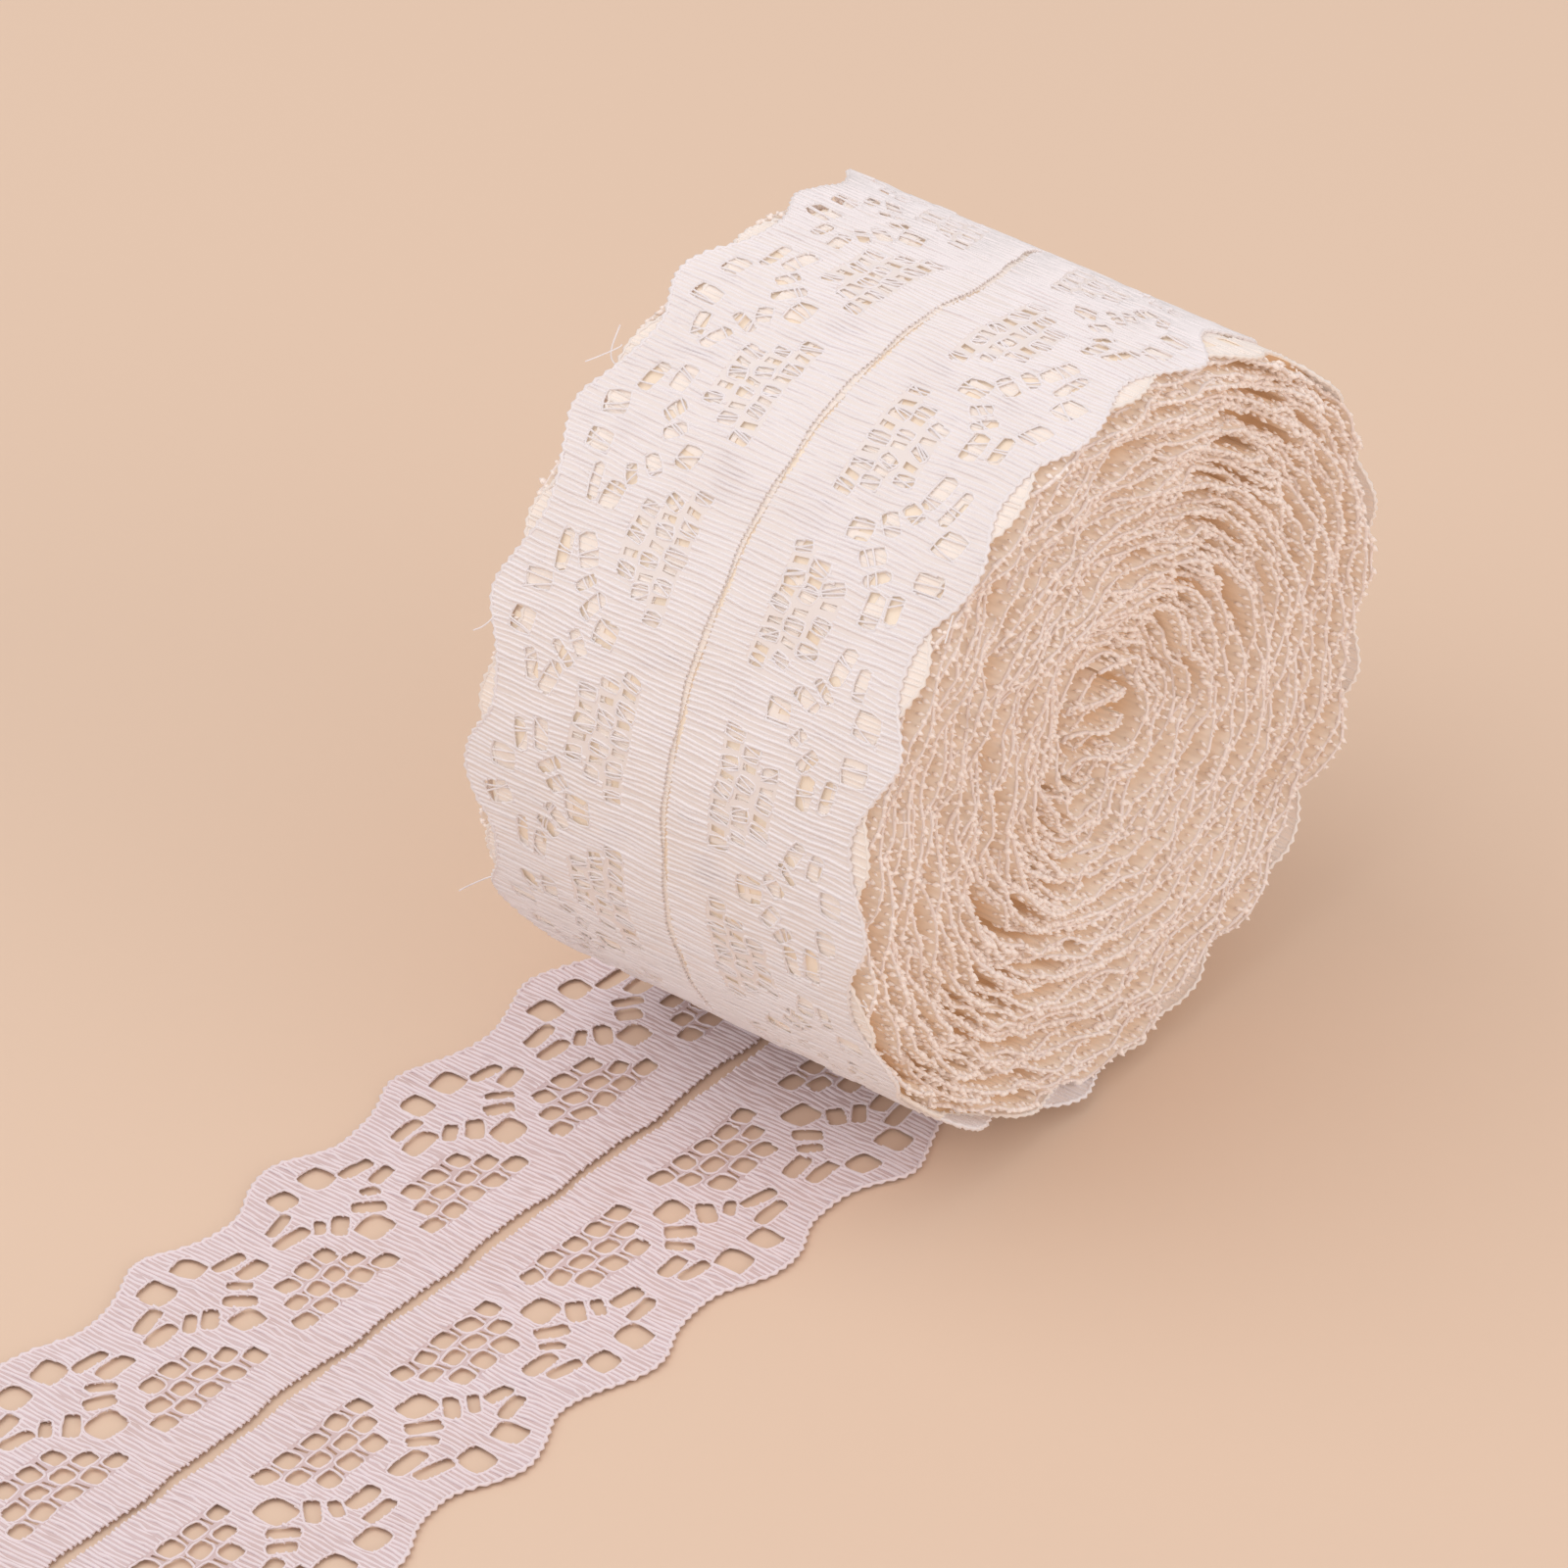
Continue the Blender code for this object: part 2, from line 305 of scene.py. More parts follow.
def hole_ring(hole, points, grow):
    """A closed ring of points round a hole, squarer than an ellipse."""
    turn = 2 * np.pi * np.arange(points) / points
    c, s = np.cos(turn), np.sin(turn)
    square = (np.abs(c) ** SQUARENESS + np.abs(s) ** SQUARENESS) ** (-1 / SQUARENESS)
    return on_ribbon(hole, (hole[2] + grow) * c * square, (hole[3] + grow) * s * square)


def covers(holes, along, across, grow):
    """For each hole, whether it covers any of the points."""
    hole_along, hole_across, half_length, half_width, slant = holes.T[:, :, None]
    du, dv, c, s = along - hole_along, across - hole_across, np.cos(slant), np.sin(slant)
    x, y = (du * c + dv * s) / (half_length + grow), (dv * c - du * s) / (half_width + grow)
    return (np.abs(x) ** SQUARENESS + np.abs(y) ** SQUARENESS) < 1


# %% Room between holes
THREAD_SPACE = 0.10
SETTLE_ROUNDS = 12
SHRINK = 0.975
NEAR_MM = 6
TEST_POINTS = 24


def settle(holes):
    """Shrinks neighbours until a thread fits between any two holes."""
    for hole in holes:
        for _ in range(SETTLE_ROUNDS):
            distance = np.hypot(holes[:, 0] - hole[0], holes[:, 1] - hole[1])
            near = holes[(distance < NEAR_MM) & (holes[:, 0] != hole[0])]
            touching = covers(near, *hole_ring(hole, TEST_POINTS, 0.0), THREAD_SPACE).any(axis=1)
            if not touching.any():
                break
            hole[2:4] *= SHRINK
            for other in near[touching]:
                holes[(holes[:, 0] == other[0]) & (holes[:, 1] == other[1]), 2:4] *= SHRINK
    return holes


# %% The holes of one stretch
END_CLEAR = 1.8
UNEVEN_PLACE = 0.07
UNEVEN_SIZE = 0.05
UNEVEN_DEGREES = 5


def repeats(first, last):
    return range(math.floor(first / REPEAT) - 1, math.ceil(last / REPEAT) + 2)


def net_along(repeat, place, count):
    """Where a hole of a net row lies, by its place in a row of so many."""
    return (repeat + 0.5) * REPEAT + (place - (count - 1) / 2) * NET_PITCH


def holes_between(first, last, slack, shape, chance):
    """Every hole of the chart from first to last along the ribbon, each a little different."""
    holes = []
    untidy = shape["untidy"]

    def hole(along, across, length, width, slant):
        along = along + float(read_table(along, slack))
        if first + END_CLEAR < along < last - END_CLEAR:
            shift = chance.normal(0, UNEVEN_PLACE * untidy, 2)
            size = 1 + chance.normal(0, UNEVEN_SIZE * untidy, 2)
            slanted = math.radians(slant + chance.normal(0, UNEVEN_DEGREES * untidy))
            holes.append((along + shift[0], across + shift[1],
                          length / 2 * size[0], width / 2 * size[1], slanted))

    for repeat in repeats(first, last):
        for half in (-1, 1):
            for along, across, length, width, slant in FLOWER_HOLES:
                for mirror in ((-1, 1) if along else (1,)):
                    hole(repeat * REPEAT + mirror * along, half * across, length * shape["flower"],
                         width * shape["flower"], mirror * half * slant)
            for across, count, length, width in NET_ROWS:
                for place in range(count):
                    hole(net_along(repeat, place, count), half * across, length * shape["net"], width, 0.0)
    return settle(np.array(holes))


# %% [markdown]
# Drawing with lines
#
# A drawing is a mesh of lines only. Closed rings become the edges of the knitted ground and of its
# holes. Open chains and rings become threads, each point with its own thickness.


# %% The drawing class
class Drawing:
    def __init__(self, width_share):
        self.points, self.edges, self.radii = [], [], []
        self.width_share = width_share

    def line(self, along, across, height=0.0, radius=0.0, closed=False):
        along, across = lean(np.asarray(along, float), np.asarray(across, float))
        start, count = len(self.points), len(along)
        self.points += zip(along, across * self.width_share, np.broadcast_to(height, count))
        self.radii += list(np.broadcast_to(radius, count))
        self.edges += [(start + a, start + b) for a, b in chain(count)]
        if closed:
            self.edges.append((start + count - 1, start))

    def mesh(self, name):
        return line_mesh(name, self.points, self.edges, thread_radius=self.radii)


def uneven(count, size, chance):
    """A row of random amounts, for yarn that no two times is the same."""
    return size * chance.normal(0, 1, count)


# %% [markdown]
# The knitted ground
#
# Each half of the ribbon is one thin ground with its holes left open. A picture with clear holes would
# be quicker, but its holes would be missing from the mesh, so every hole is a ring in the drawing. In
# the net, a narrow slot parts the two threads of each wall.

# %% The ground's outline
SLOT_LENGTH = 1.45
NET_WALL_LEAN = 0.14
SLIT_HEM = 0.1
CORD_IN = 0.15
GROUND_UNEVEN = 0.05


def net_walls(first, last, slack):
    """The middle of each wall between two neighbouring holes of a net row, and which way it leans."""
    for repeat in repeats(first, last):
        for half in (-1, 1):
            for row, (across, count, _, _) in enumerate(NET_ROWS):
                for place in range(count - 1):
                    along = net_along(repeat, place + 0.5, count)
                    along = along + float(read_table(along, slack))
                    if first + END_CLEAR < along < last - END_CLEAR:
                        yield along, half * across, half * (1 if (place + row) % 2 else -1)


def slit_sway(along, half):
    """The slit wanders and opens and closes a little."""
    return 0.16 * np.sin(along / 5.1 + 0.6 * half) + 0.10 * np.sin(along / 2.3 + 2.2 * half) + 0.05 * half


def course_places(first, last):
    return np.linspace(first, last, round((last - first) / COURSE) + 1)


def ground_drawing(first, last, holes, slack, shape, chance):
    drawing = Drawing(shape["width"])
    along = course_places(first, last)
    for half in (-1, 1):
        inner = shape["slit"] + SLIT_HEM + half * shape["sway"] * slit_sway(along, half)
        outer = outer_edge(along, slack) - CORD_IN + uneven(len(along), GROUND_UNEVEN, chance)
        drawing.line(np.concatenate([along, along[::-1]]), half * np.concatenate([inner, outer[::-1]]),
                     closed=True)
    for hole in holes:
        drawing.line(*hole_ring(hole, shape["ring_points"], 0.0), closed=True)
    for u, v, leaning in net_walls(first, last, slack):
        x = np.array([-1, 1, 1, -1]) * shape["slot"] / 2
        y = np.array([-1, -1, 1, 1]) * SLOT_LENGTH / 2
        drawing.line(u + x + leaning * NET_WALL_LEAN * y, v + y, closed=True)
    return drawing


# %% [markdown]
# The threads
#
# Real lace is rows of tiny stitches. From a little way off they read as ribs, so over the ground run
# ribs, one to a course, straight across the ribbon and stopping at each hole. Every hole has a thread
# round it, and on the roll two thin strands cross it. A cord of small loops runs along each scallop.

# %% Ribs
RIM_OUT = 0.09
LOOK_STEP = 0.12
RIB_INTO_HOLE = 0.12
RIB_END_IN = 0.1
RIB_REACH = 3.0
SHORTEST_RIB = 3
RIB_UNEVEN = (0.06, 0.04, 0.09)  # sideways and in height, in millimetres, and in thickness, as a share
ZIGZAG, STAGGER = 0.07, 0.03


def in_net(u, v, slack):
    """Where the walls of net take the place of the ribs."""
    off = (u - float(read_table(u, slack))) % REPEAT - REPEAT / 2
    inside = np.zeros(len(v), bool)
    for across, count, _, width in NET_ROWS:
        if abs(off) < (count - 1) / 2 * NET_PITCH:
            inside |= np.abs(np.abs(v) - across) < width / 2 + 0.05
    return inside


def runs(keep):
    """The first and last index of each stretch of True."""
    change = np.flatnonzero(np.diff(np.concatenate([[0], keep.astype(int), [0]])))
    return list(zip(change[::2], change[1::2] - 1))


def draw_ribs(drawing, first, last, holes, slack, shape, chance):
    for course in range(math.ceil(first / COURSE), math.floor(last / COURSE)):
        u = (course + 0.5) * COURSE
        odd = (-1) ** course
        near = holes[np.abs(holes[:, 0] - u) < RIB_REACH]
        for half in (-1, 1):
            start = shape["slit"] + shape["sway"] * (half * float(slit_sway(u, half)) + ZIGZAG * odd)
            v = np.arange(start, float(outer_edge(u, slack)) - RIB_END_IN, LOOK_STEP) * half
            in_hole = covers(near, np.full(len(v), u), v, RIM_OUT - RIB_INTO_HOLE).any(axis=0)
            for low, high in runs(~in_hole & ~in_net(u, v, slack)):
                if high - low < SHORTEST_RIB:
                    continue
                count = max(2, round(abs(v[high] - v[low]) / shape["rib_step"]) + 1)
                place, height, swell = (uneven(count, size, chance) for size in RIB_UNEVEN)
                drawing.line(u + place, np.linspace(v[low], v[high], count), height + STAGGER * odd,
                             shape["rib"] * (1 + swell))


# %% Threads round and across the holes
STRAND_RADIUS = 0.11
STRAND_UNEVEN = 0.04
RIM_UNEVEN = (0.03, 0.03, 0.12)


def strand_over(hole, chance):
    """A thin thread that crosses a hole the short way, slanting a little."""
    x = hole[2] * chance.uniform(-0.7, 0.7) + chance.normal(0, 0.28) * np.array([-1, 0, 1])
    y = (hole[3] + RIM_OUT) * np.array([-1, chance.uniform(-0.3, 0.3), 1])
    return on_ribbon(hole, x, y)


def draw_rims(drawing, holes, shape, chance):
    count = shape["ring_points"]
    for hole in holes:
        place, height, swell = (uneven(count, size, chance) for size in RIM_UNEVEN)
        ring = hole_ring(hole, count, RIM_OUT + place)
        drawing.line(*ring, height, shape["rim"] * (1 + swell), closed=True)
        for _ in range(shape["strands"]):
            strand = strand_over(hole, chance)
            drawing.line(*strand, uneven(len(strand[0]), STRAND_UNEVEN, chance), STRAND_RADIUS)


# %% The cord along the scallops
EDGE_RADIUS = 0.21
EDGE_UNEVEN = 0.04
LOOP_OUT = 0.10
LOOP_SWELL = 0.22


def draw_cords(drawing, first, last, slack, chance):
    """A cord along each scalloped edge that swells and shrinks from one course to the next."""
    along = course_places(first, last)
    loops = np.cos(np.pi * np.arange(len(along)))
    for half in (-1, 1):
        across = half * (outer_edge(along, slack) - CORD_IN + LOOP_OUT * loops)
        drawing.line(along, across, uneven(len(along), EDGE_UNEVEN, chance),
                     EDGE_RADIUS * (1 + LOOP_SWELL * loops))


def thread_drawing(first, last, holes, slack, shape, chance):
    drawing = Drawing(shape["width"])
    draw_ribs(drawing, first, last, holes, slack, shape, chance)
    draw_rims(drawing, holes, shape, chance)
    draw_cords(drawing, first, last, slack, chance)
    return drawing


# %% [markdown]
# Laying lace along a path
#
# Both trees below take a flat drawing and lay it along a curve: the drawing's length runs along the
# curve, its width goes sideways and its thickness towards the inside of the bend. A Curve modifier
# could do it too, but its sideways direction follows the curve's own twist, and these nodes hold it to
# the roll's axis. The same few nodes serve the straight loose end and the turns on the roll.


# %% Nodes that lay a drawing along a curve
def lay_along(tree, geometry, inputs):
    info = add(tree, "GeometryNodeObjectInfo", {"Object": inputs["Path"]})
    flat = add(tree, "ShaderNodeSeparateXYZ", {0: add(tree, "GeometryNodeInputPosition")}).outputs
    from_start = add(tree, "ShaderNodeMath", {0: flat["X"], 1: inputs["Drawing Start"]}, operation="SUBTRACT")
    length = add(tree, "ShaderNodeMath", {0: from_start, 1: inputs["Stretch"]}, operation="MULTIPLY")
    sample = add(tree, "GeometryNodeSampleCurve", {"Curves": info.outputs["Geometry"], "Length": length},
                 mode="LENGTH").outputs
    sideways = (0.0, 1.0, 0.0)
    inward = add(tree, "ShaderNodeVectorMath", {0: sample["Tangent"], 1: sideways}, operation="CROSS_PRODUCT")
    unit = add(tree, "ShaderNodeVectorMath", {0: inward}, operation="NORMALIZE")
    thick = add(tree, "ShaderNodeVectorMath", {0: unit, "Scale": flat["Z"]}, operation="SCALE")
    wide = add(tree, "ShaderNodeVectorMath", {0: sideways, "Scale": flat["Y"]}, operation="SCALE")
    offset = add(tree, "ShaderNodeVectorMath", {0: thick, 1: wide}, operation="ADD")
    place = add(tree, "ShaderNodeVectorMath", {0: sample["Position"], 1: offset}, operation="ADD")
    return add(tree, "GeometryNodeSetPosition", {"Geometry": geometry, "Position": place})


PATH_INPUTS = {"Path": "Object", "Drawing Start": "Float", "Stretch": "Float", "Material": "Material"}

# %% [markdown]
# Two trees: ground and threads
#
# Fill Curve closes the ground's outline round its holes, and Extrude Mesh gives it thickness. Curve to
# Mesh makes each line a thread of its own radius.

# %% The ground's tree
GROUND_THICKNESS = 0.08
MERGE_MM = 0.002


def ground_tree():
    tree, inputs = geometry_tree("lace_ground", {"Thickness": "Float", **PATH_INPUTS})
    curve = add(tree, "GeometryNodeMeshToCurve", {"Mesh": inputs["Geometry"]})
    fill = add(tree, "GeometryNodeFillCurve", {"Curve": curve})
    half_down = add(tree, "ShaderNodeMath", {0: inputs["Thickness"], 1: -0.5}, operation="MULTIPLY")
    down = add(tree, "ShaderNodeCombineXYZ", {"Z": half_down})
    sunk = add(tree, "GeometryNodeSetPosition", {"Geometry": fill, "Offset": down})
    up = add(tree, "ShaderNodeCombineXYZ", {"Z": inputs["Thickness"]})
    raised = add(tree, "GeometryNodeExtrudeMesh", {"Mesh": sunk, "Offset": up, "Individual": False})
    under = add(tree, "GeometryNodeFlipFaces", {"Mesh": sunk})
    both = add(tree, "GeometryNodeJoinGeometry")
    for part in (raised, under):
        tree.links.new(part.outputs[0], both.inputs[0])
    closed = add(tree, "GeometryNodeMergeByDistance", {"Geometry": both, "Distance": MERGE_MM * MM})
    flat = add(tree, "GeometryNodeSetShadeSmooth", {"Geometry": closed, "Shade Smooth": False})
    end_tree(tree, lay_along(tree, flat, inputs), inputs["Material"])
    return tree


# %% The threads' tree
THREAD_SIDES = 4


def tubes(tree, inputs):
    """Turns every line into a tube of its own thickness, closed at its ends."""
    curve = add(tree, "GeometryNodeMeshToCurve", {"Mesh": inputs["Geometry"]})
    circle = add(tree, "GeometryNodeCurvePrimitiveCircle", {"Resolution": inputs["Sides"]})
    radius = add(tree, "GeometryNodeInputNamedAttribute", {"Name": "thread_radius"})
    tube = add(tree, "GeometryNodeCurveToMesh", {"Curve": curve, "Profile Curve": circle, "Scale": radius,
                                                 "Fill Caps": True})
    return add(tree, "GeometryNodeSetShadeSmooth", {"Geometry": tube})


def thread_tree():
    tree, inputs = geometry_tree("lace_threads", {"Sides": "Int", **PATH_INPUTS})
    end_tree(tree, lay_along(tree, tubes(tree, inputs), inputs), inputs["Material"])
    return tree


lace_ground, lace_threads = ground_tree(), thread_tree()
print("trees:", lace_ground.name, lace_threads.name)

# %% [markdown]
# The paths
#
# The ribbon's path runs along the surface, turns up behind the roll, over it and down its front, and
# then goes round once more just inside the first turn. The roll sags and is a little wider than high, so
# a few waves are added to a circle. Where the first turn comes down behind the roll it has slid
# sideways, which shows the second turn's edge and the way that the ribbon leaves the roll.

# %% Sizes of the roll, in millimetres
_, roll_high = (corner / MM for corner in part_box("lace_roll"))
sheet_low, sheet_high = (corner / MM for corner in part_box("loose_end"))
MEAN_RADIUS = 37.05
# lobes, cosine, sine
ROUNDNESS = ((2, 0.90, 0.29), (3, 0.18, 0.00), (4, 0.04, 0.21))
THREADS_ABOVE = 0.3
SIDE_DRIFT = (sheet_low.y + sheet_high.y) / 2
SEAM_X = sheet_high.x + 0.3
SEAM_DEG = math.degrees(math.asin(SEAM_X / MEAN_RADIUS)) - 90


def outline_radius(angle):
    return MEAN_RADIUS + sum(c * np.cos(n * angle) + s * np.sin(n * angle) for n, c, s in ROUNDNESS)


top_angle = np.radians(np.arange(60, 120))
AXIS_Z = roll_high.z - THREADS_ABOVE - float((outline_radius(top_angle) * np.sin(top_angle)).max())
print("axis height", round(AXIS_Z, 2), "side drift", round(SIDE_DRIFT, 2), "seam at", round(SEAM_DEG, 1))


# %% Helpers for paths
def smooth_step(value, low, high):
    t = np.clip((np.asarray(value, float) - low) / (high - low), 0, 1)
    return t * t * (3 - 2 * t)


def lengths_along(*coordinates):
    """The length of a path from its start to each of its points."""
    return np.concatenate([[0], np.cumsum(np.sqrt(sum(np.diff(c) ** 2 for c in coordinates)))])


def path_curve(name, points):
    curve = bpy.data.curves.new(name, "CURVE")
    curve.dimensions = "3D"
    spline = curve.splines.new("POLY")
    spline.points.add(len(points) - 1)
    flat = np.ones((len(points), 4))
    flat[:, :3] = np.asarray(points) * MM
    spline.points.foreach_set("co", flat.ravel())
    return new_object(name, curve)


# %% The two turns' path and the straight one
SEAM_STEP = 0.9
TURN_GAP = 0.24
THREAD_SUNK = 0.25
SECOND_SHIFT = -0.2
LACE_MID_Z = 0.24
PATH_DEGREES = np.arange(SEAM_DEG, SEAM_DEG + 2 * 360, 0.5)


def turn_path():
    angle = np.radians(PATH_DEGREES)
    first_turn = PATH_DEGREES < SEAM_DEG + 360
    lifted = SEAM_STEP * (1 - smooth_step(PATH_DEGREES, SEAM_DEG, 80))
    tucked = TURN_GAP * smooth_step(PATH_DEGREES, SEAM_DEG + 360, 440)
    radius = outline_radius(angle) - THREAD_SUNK + np.where(first_turn, lifted, -tucked)
    slid_back = SIDE_DRIFT * (1 - smooth_step(PATH_DEGREES, 45, 80))
    side = np.where(first_turn, slid_back, SECOND_SHIFT * smooth_step(PATH_DEGREES, 285, 325))
    return np.stack([radius * np.cos(angle), side, AXIS_Z + radius * np.sin(angle)], axis=1)


roll_points = turn_path()
roll_path = path_curve("ribbon_round_roll", roll_points)
laid_path = path_curve("ribbon_laid", [(x, SIDE_DRIFT, LACE_MID_Z) for x in (sheet_low.x, sheet_high.x)])
print("round the roll:", len(roll_path.data.splines[0].points), "points")

# %% [markdown]
# The loose end
#
# One layer of lace lies on the surface. It is the only sheet here: its ground is the cloth, and the
# threads go with it. The two edges of the ribbon scallop together, so one chart serves both.

# %% Looks of the three stretches
# slit: half of its gap. sway: how far the slit wanders. width: share of the ribbon's full width.
# rib, rim: radius of the ribs and of the threads round the holes. net, flower: size of the holes
# against the chart. slot: width of the slot in a net wall. untidy: how much the holes differ.
# strands: threads across each hole. ring_points, rib_step: how finely rings and ribs are drawn.
SHAPE_KEYS = ("slit", "sway", "width", "rib", "rim", "net", "slot", "flower", "untidy", "strands",
              "ring_points", "rib_step")
LAID_SHAPE, FIRST_SHAPE, SECOND_SHAPE = (dict(zip(SHAPE_KEYS, row)) for row in (
    (0.52, 1.00, 1.000, 0.19, 0.14, 1.05, 0.30, 1.05, 1.0, 0, 16, 1.2),
    (0.34, 0.30, 1.000, 0.19, 0.13, 0.68, 0.70, 0.88, 2.0, 2, 8, 2.0),
    (0.15, 0.30, 0.965, 0.15, 0.11, 0.68, 0.50, 0.85, 2.0, 0, 8, 4.0),
))


def lay_lace(name, path, span, path_starts, stretch, slack, shape, knit, yarn, seed):
    """The ground and the threads of one stretch of lace."""
    chance = np.random.default_rng(seed)
    holes = holes_between(*span, slack, shape, chance)
    shared = {"Path": path, "Drawing Start": path_starts * MM, "Stretch": stretch}
    flat_ground = ground_drawing(*span, holes, slack, shape, chance).mesh(name + "_ground_lines")
    flat_threads = thread_drawing(*span, holes, slack, shape, chance).mesh(name + "_thread_lines")
    ground = run_tree(name + "_ground", flat_ground, lace_ground,
                      {**shared, "Thickness": GROUND_THICKNESS * MM, "Material": knit})
    threads = run_tree(name + "_threads", flat_threads, lace_threads,
                       {**shared, "Sides": THREAD_SIDES, "Material": yarn})
    return ground, threads


# %% Lay the loose end
LACE_SEED = 11
TIP_X = -22.4
laid_span = (sheet_low.x - TIP_X, sheet_high.x - TIP_X)
laid_ground, laid_threads = lay_lace("loose_end", laid_path, laid_span, laid_span[0], 1.0, LAID_SLACK,
                                     LAID_SHAPE, knit_laid, yarn_laid, LACE_SEED)

# %% [markdown]
# The two outermost turns
#
# The first turn is what the eye reads as the roll, and the second shows through its holes, so both are
# real lace. On the roll the ribbon is slacker than laid out: a repeat takes 17.2 mm, not 18.65 mm.

# %% Wind the two outermost turns
REPEAT_ON_ROLL = 17.2
ON_ROLL = REPEAT_ON_ROLL / REPEAT
TIP_AT_DEGREES = 154.5
path_lengths = lengths_along(*roll_points.T)


def along_at(degrees):
    """The place on the ribbon that lies at an angle round the roll, counted from a scallop's tip."""
    to_tip = float(np.interp(TIP_AT_DEGREES, PATH_DEGREES, path_lengths))
    return float(np.interp(degrees, PATH_DEGREES, path_lengths) - to_tip) / ON_ROLL


turn_starts, turn_ends, path_ends = (along_at(SEAM_DEG + degrees) for degrees in (0, 360, 719))
first_turn = lay_lace("first_turn", roll_path, (turn_starts, turn_ends), turn_starts, ON_ROLL, NO_SLACK,
                      FIRST_SHAPE, knit_on_roll, yarn_on_roll, LACE_SEED + 1)
second_turn = lay_lace("second_turn", roll_path, (turn_ends, path_ends), turn_starts, ON_ROLL, NO_SLACK,
                       SECOND_SHAPE, knit_below, yarn_below, LACE_SEED + 2)

# %% [markdown]
# The turns' edges on the end faces
#
# Inside the second turn only the edge of each turn shows. 38 turns are drawn where the real roll has
# about seventy, because the valleys of most scallops hide behind their neighbours' tips. Each edge is a
# ruffled wall of cloth with a cord along its crest and small loops of yarn on both sides of it. In the
# middle the ribbon is folded to and fro, as it was when the winding started. One long spiral is drawn,
# and all of this stands along it.

# %% The spiral of edges
EDGE_TURNS = 38
POINTS_A_TURN = 720
CENTRE_RADIUS = 5.2
FIRST_EDGE_IN = 0.9
MIDDLE_X, MIDDLE_Z = 0.8, -0.6
FOLDED_SHARE = 0.45
MIDDLE_FOLDS = 3.6
FOLD_POINTS = 400
FOLD_HALF_WIDTH = 4.3
FOLDS_FROM, FOLDS_HEIGHT = -6.0, 11.6


def spiral_line():
    """The spiral and the folds in its middle, seen along the axis, and its share of the radius."""
    turns = np.linspace(0, EDGE_TURNS, EDGE_TURNS * POINTS_A_TURN)
    angle = np.radians(SEAM_DEG) + 2 * np.pi * turns
    share = 1 - turns / EDGE_TURNS
    # turns bunch together and part again in two slow waves
    pitch = (MEAN_RADIUS - CENTRE_RADIUS - FIRST_EDGE_IN) / EDGE_TURNS
    bunch = 0.36 * np.sin(2 * np.pi * turns / 3.1 + 1.3 * np.sin(angle) + 0.7)
    bunch += 0.20 * np.sin(2 * np.pi * turns / 1.7 + 2.0 * np.sin(angle + 1.0))
    radius = CENTRE_RADIUS + (outline_radius(angle) - FIRST_EDGE_IN - CENTRE_RADIUS) * share
    radius = radius + pitch * bunch * smooth_step(turns, 0, 1.5)
    # towards the middle they lose their round form
    folded = 1 - smooth_step(share, 0.0, FOLDED_SHARE)
    crumple = 0.09 * np.cos(3 * angle + 0.5) + 0.06 * np.cos(5 * angle + 2.0)
    crumple = crumple + 0.04 * np.cos(9 * angle + 4 * share)
    radius = radius * (1 + folded * crumple)
    x = radius * np.cos(angle) + MIDDLE_X * folded
    z = radius * np.sin(angle) * (1 + 0.15 * folded) + MIDDLE_Z * folded
    # and in the middle the ribbon goes to and fro
    fold = np.linspace(0, 1, FOLD_POINTS)
    to_and_fro = FOLD_HALF_WIDTH * np.sin(2 * np.pi * MIDDLE_FOLDS * fold - 0.4) * (1 - 0.15 * fold)
    climb = FOLDS_FROM + FOLDS_HEIGHT * fold + 0.5 * np.sin(2 * np.pi * 2 * MIDDLE_FOLDS * fold)
    return (np.concatenate([x, MIDDLE_X + to_and_fro]), np.concatenate([z, climb]),
            np.concatenate([share, np.zeros(FOLD_POINTS)]))


# %% Ruffles and scallops along the spiral
CREST_STEP = 0.5
RUFFLE_MM = 2.1
PHASE_MM = 30.0
SLIDE_MM = 26.0
TIP_STANDS = (
    # share of the radius, reach of a scallop's tip
    (0.00, 18.8), (0.12, 19.3), (0.25, 21.2), (0.38, 22.2),
    (0.52, 22.1), (0.65, 22.5), (0.80, 22.3), (1.00, 22.3),
)


def waves(along, step, size, chance):
    """Random heights every step, joined by smooth curves."""
    knots = np.arange(0, along[-1] + 2 * step, step)
    place = along / step
    before = np.floor(place).astype(int)
    blend = smooth_step(place - before, 0, 1)
    heights = chance.normal(0, size, len(knots) + 1)
    return heights[before] * (1 - blend) + heights[before + 1] * blend


def outwards(along, x, z):
    """The direction square to the spiral at each of its points."""
    return np.gradient(z, along), -np.gradient(x, along)


def edge_spiral(chance):
    """Points along the edge in millimetres, seen along the axis, how far it reaches, and its length."""
    x, z, share = spiral_line()
    length = lengths_along(x, z)
    along = np.arange(0, length[-1], CREST_STEP)
    x, z, share = (np.interp(along, length, values) for values in (x, z, share))
    ruffle = waves(along, RUFFLE_MM, 0.26, chance) + waves(along, 1.7 * RUFFLE_MM, 0.20, chance)
    out_x, out_z = outwards(along, x, z)
    x, z = x + ruffle * out_x, z + ruffle * out_z
    slid = np.abs(waves(along, SLIDE_MM, 0.55, chance))
    knots = np.arange(0, along[-1] + 2 * PHASE_MM, PHASE_MM)
    phase = np.interp(along, knots, np.cumsum(chance.normal(0, 2.2, len(knots))))
    tallness = 0.65 + 0.30 * np.tanh(waves(along, PHASE_MM, 1.0, chance))
    valley = TIP_REACH - scallop_reach(along / ON_ROLL + phase)
    reach = read_table(share, TIP_STANDS) - tallness * valley - slid
    return x, z, reach + waves(along, 1.5, 0.10, chance), along


print("length of edge to draw on each end face:", round(lengths_along(*spiral_line()[:2])[-1]), "mm")

# %% Lines for the walls and the cords
STEPS_PER_WALL = 2
CREST_RADIUS = 0.21
CREST_ABOVE = 0.04


